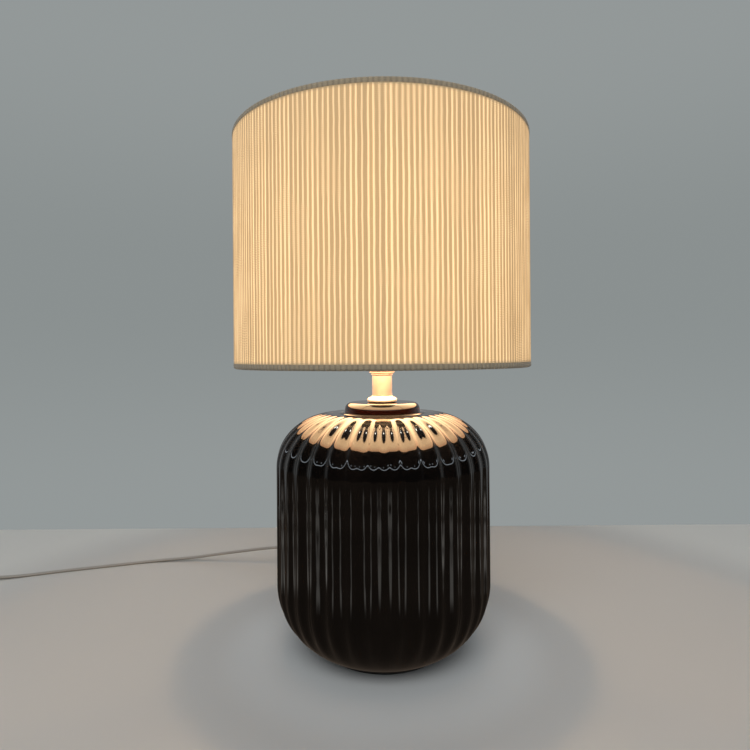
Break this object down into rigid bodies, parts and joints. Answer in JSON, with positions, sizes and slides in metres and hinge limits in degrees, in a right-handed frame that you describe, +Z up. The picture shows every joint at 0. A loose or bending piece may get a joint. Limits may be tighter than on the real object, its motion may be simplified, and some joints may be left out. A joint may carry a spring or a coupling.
{
  "type": "ceramic table lamp",
  "caption": "Table lamp: fluted glazed ceramic body, brass neck, lampholder with bulb, ribbed drum shade, flex with in-line switch and plug.",
  "frame": {"origin": "on the table, under the lamp's axis", "axes": "+Z up along the lamp's axis; the front faces -Y and the flex leaves at the back, +Y"},
  "size_m": [0.698, 0.337, 0.4345],
  "materials": {
    "glaze": "near-black glazed ceramic, high gloss",
    "felt": "black felt pad",
    "board": "raw fibreboard",
    "black_rubber": "matt black rubber",
    "zinc_steel": "zinc-plated steel",
    "neck_brass": "pale satin brass, lacquered",
    "holder_plastic": "ivory moulded plastic",
    "insert_plastic": "ceramic-like moulded insert",
    "contact_brass": "bare brass",
    "bulb_shell": "rolled thread shell",
    "bulb_vitrite": "black glass insulator",
    "bulb_clear_glass": "clear",
    "filament": "yellow phosphor strip, lit",
    "support_wire": "nickel wire",
    "shade_fabric": "cream ribbed fabric, lit from inside",
    "trim_fabric": "the same ribbed fabric, folded and unlit",
    "liner": "white translucent liner",
    "frame_paint": "white powder-coated wire",
    "flex_plastic": "clear to pale grey flat flex",
    "core_insulation": "pale core insulation",
    "tie_plastic": "white plastic strap",
    "switch_plastic": "pale moulded plastic",
    "plug_plastic": "pale moulded plastic",
    "pin_brass": "nickel-plated brass"
  },
  "bodies": {
    "lamp": {"ceramic_body": "glaze", "foot_pad": "felt", "base_board": "board", "rubber_washer": "black_rubber", "neck_gasket": "black_rubber", "steel_washer": "zinc_steel", "lock_washer": "zinc_steel", "clamp_nut": "zinc_steel", "threaded_rod": "zinc_steel", "grub_screw": "zinc_steel", "terminal_screws": "zinc_steel", "switch_screws": "zinc_steel", "neck_flange": "neck_brass", "neck_tube": "neck_brass", "neck_ring": "neck_brass", "holder_cap": "holder_plastic", "holder_sleeve": "holder_plastic", "holder_insert": "insert_plastic", "terminal_blocks": "contact_brass", "centre_contact": "contact_brass", "side_contact": "contact_brass", "switch_contacts": "contact_brass", "cable_bushing": "flex_plastic", "inner_lead": "flex_plastic", "flex_to_switch": "flex_plastic", "flex_to_coil": "flex_plastic", "flex_coil": "flex_plastic", "flex_to_plug": "flex_plastic", "lead_cores": "core_insulation", "coil_tie": "tie_plastic", "switch_base": "switch_plastic", "switch_cover": "switch_plastic", "plug_body": "plug_plastic", "plug_sleeves": "plug_plastic", "plug_pins": "pin_brass"},
    "bulb": {"bulb_glass": "bulb_clear_glass", "bulb_cap": "bulb_shell", "bulb_insulator": "bulb_vitrite", "bulb_tip": "contact_brass", "bulb_stem": "bulb_clear_glass", "bulb_filaments": "filament", "filament_supports": "support_wire"},
    "shade_ring": {"shade_ring": "holder_plastic"},
    "shade": {"shade_cover": "shade_fabric", "shade_liner": "liner", "shade_fitter": "frame_paint", "shade_spokes": "frame_paint", "shade_bottom_wire": "frame_paint", "shade_top_wire": "frame_paint", "shade_top_trim": "trim_fabric", "shade_bottom_trim": "trim_fabric"},
    "rocker": {"switch_rocker": "switch_plastic"}
  },
  "joints": [
    {"name": "bulb_unscrew", "type": "slide", "parent": "lamp", "child": "bulb", "axis": [0, 0, 1], "range_m": [0, 0.0265]},
    {"name": "shade_ring_unscrew", "type": "slide", "parent": "lamp", "child": "shade_ring", "axis": [0, 0, 1], "range_m": [0, 0.0225]},
    {"name": "shade_turn", "type": "hinge", "parent": "lamp", "child": "shade", "pos_m": [0, 0, 0.2669], "axis": [0, 0, 1], "continuous": true},
    {"name": "switch_press", "type": "hinge", "parent": "lamp", "child": "rocker", "pos_m": [-0.50724, 0.12698, 0.0136], "axis": [-0.3219, 0.9468, 0], "range_deg": [-16, 0]}
  ]
}
